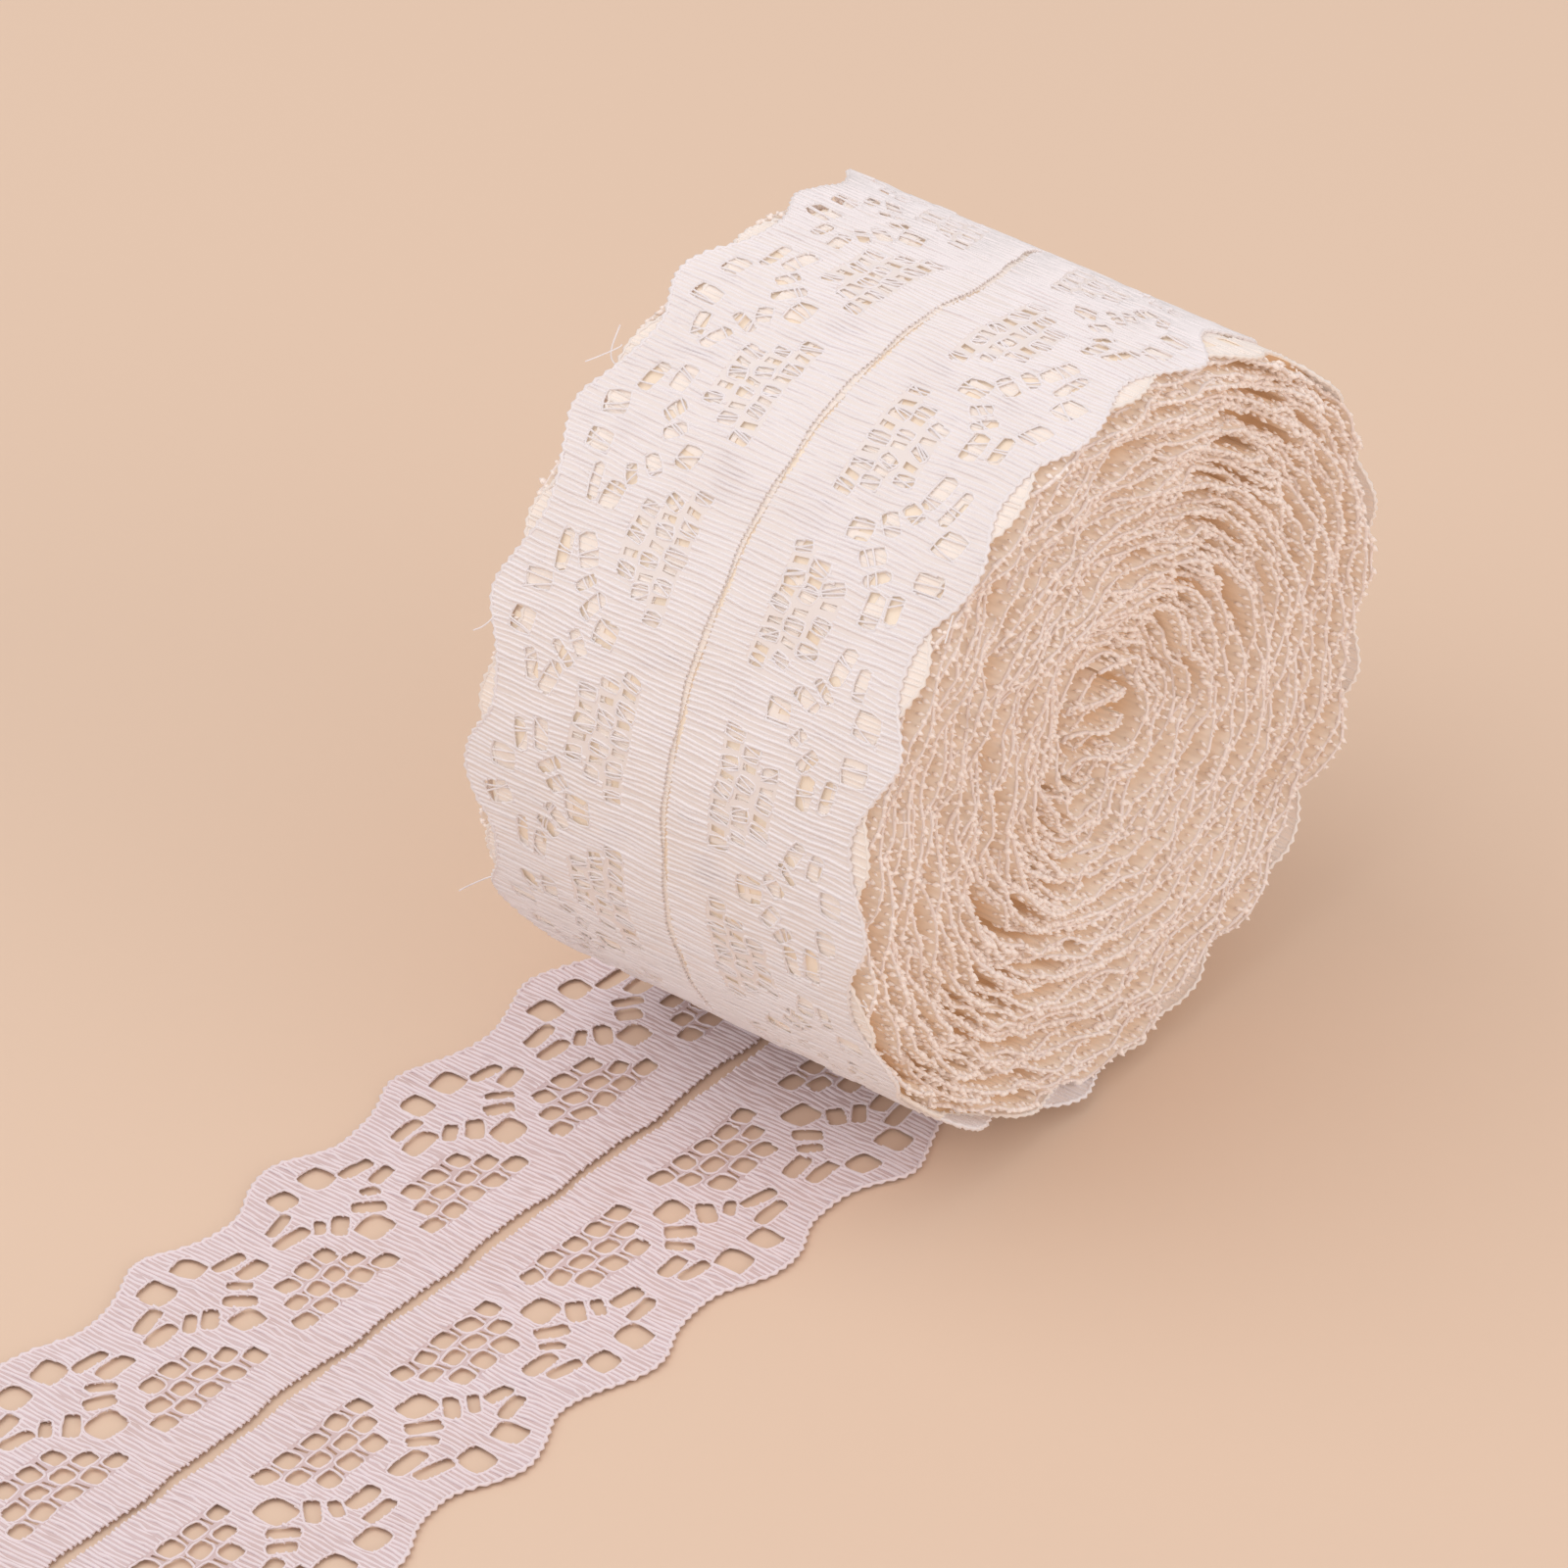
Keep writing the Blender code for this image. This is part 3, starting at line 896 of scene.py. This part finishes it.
def wall_lines(name, x, z, reach, along):
    """The spiral seen along the axis, in x and y, with its reach and length as values on each point."""
    few = slice(None, None, STEPS_PER_WALL)
    points = np.stack([x[few], z[few], np.zeros(len(x[few]))], axis=1)
    return line_mesh(name, points, chain(len(points)), reach=reach[few], ribs_along=along[few])


def crest_lines(name, x, z, reach, side, chance):
    """The cord of the crest in place, uneven as yarn is."""
    points = np.stack([x, side * (reach + CREST_ABOVE), AXIS_Z + z], axis=1)
    radius = CREST_RADIUS * (0.9 + chance.normal(0, 0.16, len(x)))
    return line_mesh(name, points, chain(len(points)), thread_radius=radius)


# %% Loops of yarn beside the crests
BEAD = np.array([(1, 0, 0), (-1, 0, 0), (0, 1, 0), (0, -1, 0), (0, 0, 1), (0, 0, -1)], float)
BEAD_FACES = np.array([(0, 2, 4), (2, 1, 4), (1, 3, 4), (3, 0, 4),
                       (2, 0, 5), (1, 2, 5), (3, 1, 5), (0, 3, 5)])
LOOP_PITCH = 0.98
LOOP_BESIDE = 0.30
LOOP_ROWS = (
    # side of the crest, how far below it, pitch, length and thickness of a loop
    (0.0, -0.16, 1.0, 0.40, 0.29),
    (1.0, 0.40, 1.15, 0.46, 0.22),
    (-1.0, 0.40, 1.15, 0.46, 0.22),
    (1.0, 1.15, 1.9, 0.44, 0.18),
)


def loop_lumps(x, z, reach, along, chance):
    """One small lump of yarn for each loop, long in the direction of the roll's axis."""
    out_x, out_z = outwards(along, x, z)
    for where, below, pitch, long_half, thick_half in LOOP_ROWS:
        at = np.arange(1.0, along[-1] - 1, pitch * LOOP_PITCH)
        at = at + chance.normal(0, 0.14, len(at))
        out = where * LOOP_BESIDE + chance.normal(0, 0.07, len(at))
        centre_x = np.interp(at, along, x) + out * np.interp(at, along, out_x)
        centre_z = np.interp(at, along, z) + out * np.interp(at, along, out_z)
        centre_y = np.interp(at, along, reach) - below + chance.normal(0, 0.10, len(at))
        size = np.clip(1 + chance.normal(0, 0.22, len(at)), 0.5, 1.6)
        tip_x, tip_z = chance.normal(0, 0.2, (2, len(at)))
        for cx, cy, cz, k, tx, tz in zip(centre_x, centre_y, centre_z, size, tip_x, tip_z):
            lump = BEAD * (thick_half * k, long_half * k, thick_half * k)
            lump[:, 0] += tx * lump[:, 1]
            lump[:, 2] += tz * lump[:, 1]
            yield lump + (cx, cy, cz)


def loops_piece(name, spiral, side, chance):
    """All loops of one end face. A negative side mirrors them, so there the triangles are turned round."""
    lumps = list(loop_lumps(*spiral, chance))
    points = np.concatenate(lumps) * (1, side, 1) + (0, 0, AXIS_Z)
    triangles = np.concatenate([BEAD_FACES + len(BEAD) * i for i in range(len(lumps))])
    mesh = bpy.data.meshes.new(name)
    mesh.from_pydata((points * MM).tolist(), [], (triangles if side > 0 else triangles[:, ::-1]).tolist())
    mesh.shade_smooth()
    mesh.materials.append(yarn_loops)
    print(f"{name}: {len(triangles)} triangles")
    return new_object(name, mesh)


# %% The trees that raise walls and cords
def wall_tree():
    """Sweeps a narrow profile along the spiral and lifts each point by the reach that it carries."""
    tree, inputs = geometry_tree("turn_walls", {"Profile": "Object", "Side": "Float", "Axis Height": "Float",
                                                "Mirrored": "Bool", "Material": "Material"})
    curve = add(tree, "GeometryNodeMeshToCurve", {"Mesh": inputs["Geometry"]})
    upright = add(tree, "GeometryNodeSetCurveNormal", {"Curve": curve}, mode="Z_UP")
    info = add(tree, "GeometryNodeObjectInfo", {"Object": inputs["Profile"]})
    sections = {"Curve": upright, "Profile Curve": info.outputs["Geometry"]}
    wall = add(tree, "GeometryNodeCurveToMesh", sections)
    swept = add(tree, "ShaderNodeSeparateXYZ", {0: add(tree, "GeometryNodeInputPosition")}).outputs
    deep = add(tree, "GeometryNodeStoreNamedAttribute", {0: wall, "Name": "depth", "Value": swept["Z"]})
    reach = add(tree, "GeometryNodeInputNamedAttribute", {"Name": "reach"})
    from_middle = add(tree, "ShaderNodeMath", {0: reach, 1: swept["Z"]}, operation="ADD")
    side = add(tree, "ShaderNodeMath", {0: from_middle, 1: inputs["Side"]}, operation="MULTIPLY")
    height = add(tree, "ShaderNodeMath", {0: swept["Y"], 1: inputs["Axis Height"]}, operation="ADD")
    place = add(tree, "ShaderNodeCombineXYZ", {"X": swept["X"], "Y": side, "Z": height})
    placed = add(tree, "GeometryNodeSetPosition", {"Geometry": deep, "Position": place})
    turned = add(tree, "GeometryNodeFlipFaces", {"Mesh": placed, "Selection": inputs["Mirrored"]})
    smooth = add(tree, "GeometryNodeSetShadeSmooth", {"Geometry": turned})
    end_tree(tree, smooth, inputs["Material"])
    return tree


def cord_tree():
    tree, inputs = geometry_tree("cords_in_place", {"Sides": "Int", "Material": "Material"})
    end_tree(tree, tubes(tree, inputs), inputs["Material"])
    return tree


# %% [markdown]
# The yarn of the edges
#
# The crests of the turns are nearly as white as the rest. Deeper between them the walls are painted darker
# and warmer: painted shade for the light that reaches the deep gaps only through many layers of ivory
# yarn. The wall's own depth steers that painted shade, and the length along the ribbon steers a bump of
# fine ribs, because both are carried by the mesh and bend with it.

# %% Edge material
PAINTED_SHADE_FROM, PAINTED_SHADE_TO = -0.1, -3.2
RIB_PITCH_MM = 0.98
RIB_HEIGHT_MM = 0.08


def wall_material(name, crest, deep):
    # The walls glow more strongly than the turns: painted light that lifts the shade deep between them.
    material = yarn_material(name, crest, deep, 0.0, 0.62, 0.5, 0.13)
    tree = material.node_tree
    shader = tree.nodes["Principled BSDF"]
    # Painted shade: the wall's colour turns darker and warmer with its depth below the crest.
    depth = add(tree, "ShaderNodeAttribute", attribute_name="depth").outputs["Fac"]
    share = add(tree, "ShaderNodeMapRange", {0: depth, "From Min": PAINTED_SHADE_FROM * MM, "From Max": PAINTED_SHADE_TO * MM})
    mixed = add(tree, "ShaderNodeMix", {"Factor": share, "A": colour(crest), "B": colour(deep)},
                data_type="RGBA")
    tree.links.new(mixed.outputs["Result"], shader.inputs["Base Color"])
    ribs = add(tree, "ShaderNodeAttribute", attribute_name="ribs_along").outputs["Fac"]
    turn = add(tree, "ShaderNodeMath", {0: ribs, 1: 2 * math.pi / (RIB_PITCH_MM * MM)}, operation="MULTIPLY")
    ridge = add(tree, "ShaderNodeMath", {0: turn}, operation="SINE")
    relief = add(tree, "ShaderNodeBump", {"Height": ridge, "Strength": 0.7, "Distance": RIB_HEIGHT_MM * MM})
    tree.links.new(relief.outputs[0], shader.inputs["Normal"])
    return material


yarn_walls = wall_material("polyester_yarn_walls", "EFDCCD", "E1C1A0")
yarn_crests = yarn_material("polyester_yarn_crests", "F4E8E4", "EEDFD8", 0.8, 0.55, 0.5, 0.06)
# The loops glow more strongly than the crests: painted light that keeps them pale in the shade between the
# turns.
yarn_loops = yarn_material("polyester_yarn_loops", "FAEFE9", "F3E3D9", 0.6, 0.5, 0.3, 0.13)
print("edges:", yarn_walls.name, yarn_crests.name, yarn_loops.name)

# %% Raise both end faces
WALL_DEPTH = 5.5
WALL_HALF = 0.15
profile = path_curve("wall_profile", [(-WALL_HALF, WALL_DEPTH, 0), (-WALL_HALF, 0, 0), (WALL_HALF, 0, 0),
                                      (WALL_HALF, WALL_DEPTH, 0)])
turn_walls, cords_in_place = wall_tree(), cord_tree()
faces = []
for name, side, seed in (("near_face", -1.0, 21), ("far_face", 1.0, 22)):
    chance = np.random.default_rng(seed)
    spiral = edge_spiral(chance)
    faces.append(run_tree(name + "_walls", wall_lines(name + "_wall_lines", *spiral), turn_walls,
                          {"Profile": profile, "Side": side, "Axis Height": AXIS_Z * MM,
                           "Mirrored": side > 0, "Material": yarn_walls}))
    faces.append(run_tree(name + "_crests", crest_lines(name + "_crest_lines", *spiral[:3], side, chance),
                          cords_in_place, {"Sides": THREAD_SIDES, "Material": yarn_crests}))
    faces.append(loops_piece(name + "_loops", spiral, side, chance))

# %% [markdown]
# Stray threads
#
# Cut and worn loops leave a few thin ends of yarn at the edges. Each springs from the lace's edge, leans
# along it and curls outwards. Hair grown at random would make a fringe, so each is a row of a table.

# %% Stray threads
STRAY_RADIUS = 0.075
STRAY_POINTS = 9
STRAYS = (
    # degrees round the roll, side, reach, lean along the edge, outwards, sideways, curl
    (203.0, 1, 21.8, -1.5, 3.2, 1.0, 0.8),
    (117.0, 1, 21.6, 3.6, 1.6, 0.8, -0.9),
    (120.0, 1, 21.0, -3.0, 1.2, 0.9, 0.7),
    (158.0, 1, 21.2, 1.8, 2.0, 0.6, 0.5),
    (133.0, -1, 21.8, 2.6, 0.9, 1.2, -0.5),
    (192.0, -1, 21.4, -2.2, 0.8, 1.4, 0.6),
    (20.0, 1, 21.5, 2.4, 1.4, 1.0, 0.8),
    (330.0, 1, 21.3, -2.8, 1.2, 1.2, -0.6),
)


def stray_drawing():
    points, edges = [], []
    for degrees, side, reach, lean_along, outward, sideways, curl in STRAYS:
        angle = math.radians(degrees)
        out = np.array([math.cos(angle), 0.0, math.sin(angle)])
        round_roll = np.array([-math.sin(angle), 0.0, math.cos(angle)])
        start = (outline_radius(angle) - THREAD_SUNK) * out + (0.0, side * reach, AXIS_Z)
        edges += [(len(points) + a, len(points) + b) for a, b in chain(STRAY_POINTS)]
        for t in np.linspace(0, 1, STRAY_POINTS):
            sway = curl * math.sin(math.pi * t)
            points.append(start + out * (outward * t * t + 0.2 * t) + round_roll * (lean_along * t + sway)
                          + np.array([0.0, side * (sideways * t + 0.5 * sway), 0.0]))
    return line_mesh("stray_thread_lines", points, edges, thread_radius=np.full(len(points), STRAY_RADIUS))


strays = run_tree("stray_threads", stray_drawing(), cords_in_place,
                  {"Sides": THREAD_SIDES, "Material": yarn_on_roll})

# %% [markdown]
# The wound body
#
# Behind all this is the mass of wound lace, one closed form. It shows only through two layers of holes
# and deep between the turns, so it is a plain drum of warm ivory. Its sunken ends are painted a deeper tan,
# painted shade for the deep gaps between the turns, and the drum glows more strongly than the turns,
# painted light that lifts its shade behind the holes.

# %% The form of the drum
BODY_IN = 0.58
BODY_BEHIND = 5.2
RIM_BEHIND = 2.6
RIM_FROM = 0.93
BODY_COLUMNS = 180
BODY_RINGS = 14
INNERMOST = 0.12


def body_ring(share, side, angles):
    """A ring of the drum. Its ends stand behind the turns' edges, and a little less at the rim."""
    rim = float(smooth_step(share, RIM_FROM, 1.0))
    reach = read_table(share, TIP_STANDS) - BODY_BEHIND + (BODY_BEHIND - RIM_BEHIND) * rim
    radius = (outline_radius(angles) - BODY_IN) * share
    return [(r * math.cos(a), side * reach, AXIS_Z + r * math.sin(a)) for r, a in zip(radius, angles)]


def body_mesh():
    shares = list(np.linspace(INNERMOST, 1.0, BODY_RINGS))
    angles = 2 * np.pi * np.arange(BODY_COLUMNS) / BODY_COLUMNS
    rings = [(share, -1) for share in shares] + [(share, 1) for share in reversed(shares)]
    points = [point for share, side in rings for point in body_ring(share, side, angles)]
    columns = [(column, (column + 1) % BODY_COLUMNS) for column in range(BODY_COLUMNS)]
    faces_of = [(a + column, a + after, a + BODY_COLUMNS + after, a + BODY_COLUMNS + column)
                for a in range(0, (len(rings) - 1) * BODY_COLUMNS, BODY_COLUMNS)
                for column, after in columns]
    for a, side in ((0, -1), ((len(rings) - 1) * BODY_COLUMNS, 1)):
        middle = len(points)
        points.append((0.0, side * (read_table(0.0, TIP_STANDS) - 1.5 * BODY_BEHIND), AXIS_Z))
        faces_of += [(middle, *(a + c for c in (pair if side > 0 else reversed(pair)))) for pair in columns]
    mesh = bpy.data.meshes.new("wound_body")
    mesh.from_pydata([Vector(point) * MM for point in points], [], faces_of)
    return mesh


# %% The drum and its two tones
SHARP_DEGREES = 50
body = new_object("wound_body", body_mesh())
body.data.shade_smooth()
body.data.set_sharp_from_angle(angle=math.radians(SHARP_DEGREES))
# The drum's glow, stronger than the turns', is painted light that lifts its shade behind the holes.
body.data.materials.append(yarn_material("polyester_yarn_wound", "F4E7D7", "F0DEC9", 1.0, 0.8, 0.5, 0.13))
body.data.materials.append(yarn_material("polyester_yarn_deep", "E0C2A1", "D6B38E", 1.0, 0.9, 0.5, 0.10))
# The faces that look along the axis, the drum's sunken ends, take the deeper tan: painted shade.
for face in body.data.polygons:
    face.material_index = int(abs(face.normal.y) > 0.5)
print("wound body:", len(body.data.polygons), "faces")

# %% [markdown]
# Fasten everything to the frame
#
# Nothing on the roll moves, so every piece rides on the one body. The loose end lies flat, 45 mm wide
# and 130 mm long. The curves were only needed while the lace was laid.

# %% Ride and replace
for helper in (profile, roll_path, laid_path):
    bpy.data.objects.remove(helper, do_unlink=True)
for piece in (*first_turn, *second_turn, *faces, strays, body):
    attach(piece, "root")
    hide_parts("lace_roll")
for piece in (laid_ground, laid_threads):
    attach(piece, "root")
    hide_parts("loose_end")

# %% [markdown]
# Studio
#
# A plain pale floor, one large soft light from the upper left, a weaker one from the right of the front
# and a bright sky. The floor's warm tone shows through the holes and warms the underside of the roll.

# %% Floor, 6 m wide
FLOOR_Z_MM = -0.2
floor_mesh = bpy.data.meshes.new("floor")
floor_mesh.from_pydata([(-3, -3, 0), (3, -3, 0), (3, 3, 0), (-3, 3, 0)], [], [(0, 1, 2, 3)])
floor = new_object("floor", floor_mesh)
floor.location.z = FLOOR_Z_MM * MM
floor_paint = bpy.data.materials.new("matt_paper_floor")
floor_paint.use_nodes = True
paper = floor_paint.node_tree.nodes["Principled BSDF"].inputs
paper["Base Color"].default_value = colour("E8CDB6")
paper["Roughness"].default_value = 0.9
floor_mesh.materials.append(floor_paint)

# %% Lights and sky
middle = Vector((0.0, 0.0, AXIS_Z * MM))


def area_light(name, place, size, power, tint):
    """A round soft light, placed in metres and aimed at the middle of the roll."""
    light = bpy.data.lights.new(name, "AREA")
    light.shape, light.size, light.energy, light.color = "DISK", size, power, colour(tint)[:3]
    lamp = new_object(name, light)
    lamp.location = place
    lamp.rotation_euler = (middle - Vector(place)).to_track_quat("-Z", "Y").to_euler()
    print(name, power, "W")


area_light("key", (-0.42, 0.34, 0.98), 1.3, 4.45, "FFFBFA")
area_light("fill", (0.15, -1.0, 0.4), 0.9, 2.5, "FFF0E6")
world = bpy.data.worlds.new("sky")
world.use_nodes = True
sky = world.node_tree.nodes["Background"].inputs
sky["Color"].default_value = colour("FFFAF8")
sky["Strength"].default_value = 0.68
scene.world = world
scene.view_settings.view_transform = "Standard"

# %% Camera
CAMERA_AT = (-635.5, -490.9, 590.9)
AZIMUTH, ELEVATION = math.radians(-51.39), math.radians(35.28)
SENSOR_MM, LENS_MM = 36.0, 250.87
lens = bpy.data.cameras.new("camera")
lens.sensor_width, lens.lens = SENSOR_MM, LENS_MM
lens.clip_start = 0.05
camera = new_object("camera", lens)
right = Vector((math.cos(AZIMUTH), math.sin(AZIMUTH), 0))
back = Vector((math.sin(AZIMUTH) * math.cos(ELEVATION), -math.cos(AZIMUTH) * math.cos(ELEVATION),
               math.sin(ELEVATION)))
turned_to = Matrix((right, back.cross(right), back)).transposed().to_4x4()
camera.matrix_world = Matrix.Translation(Vector(CAMERA_AT) * MM) @ turned_to
scene.camera = camera
print("camera at azimuth", round(math.degrees(AZIMUTH), 2), "elevation", round(math.degrees(ELEVATION), 2))
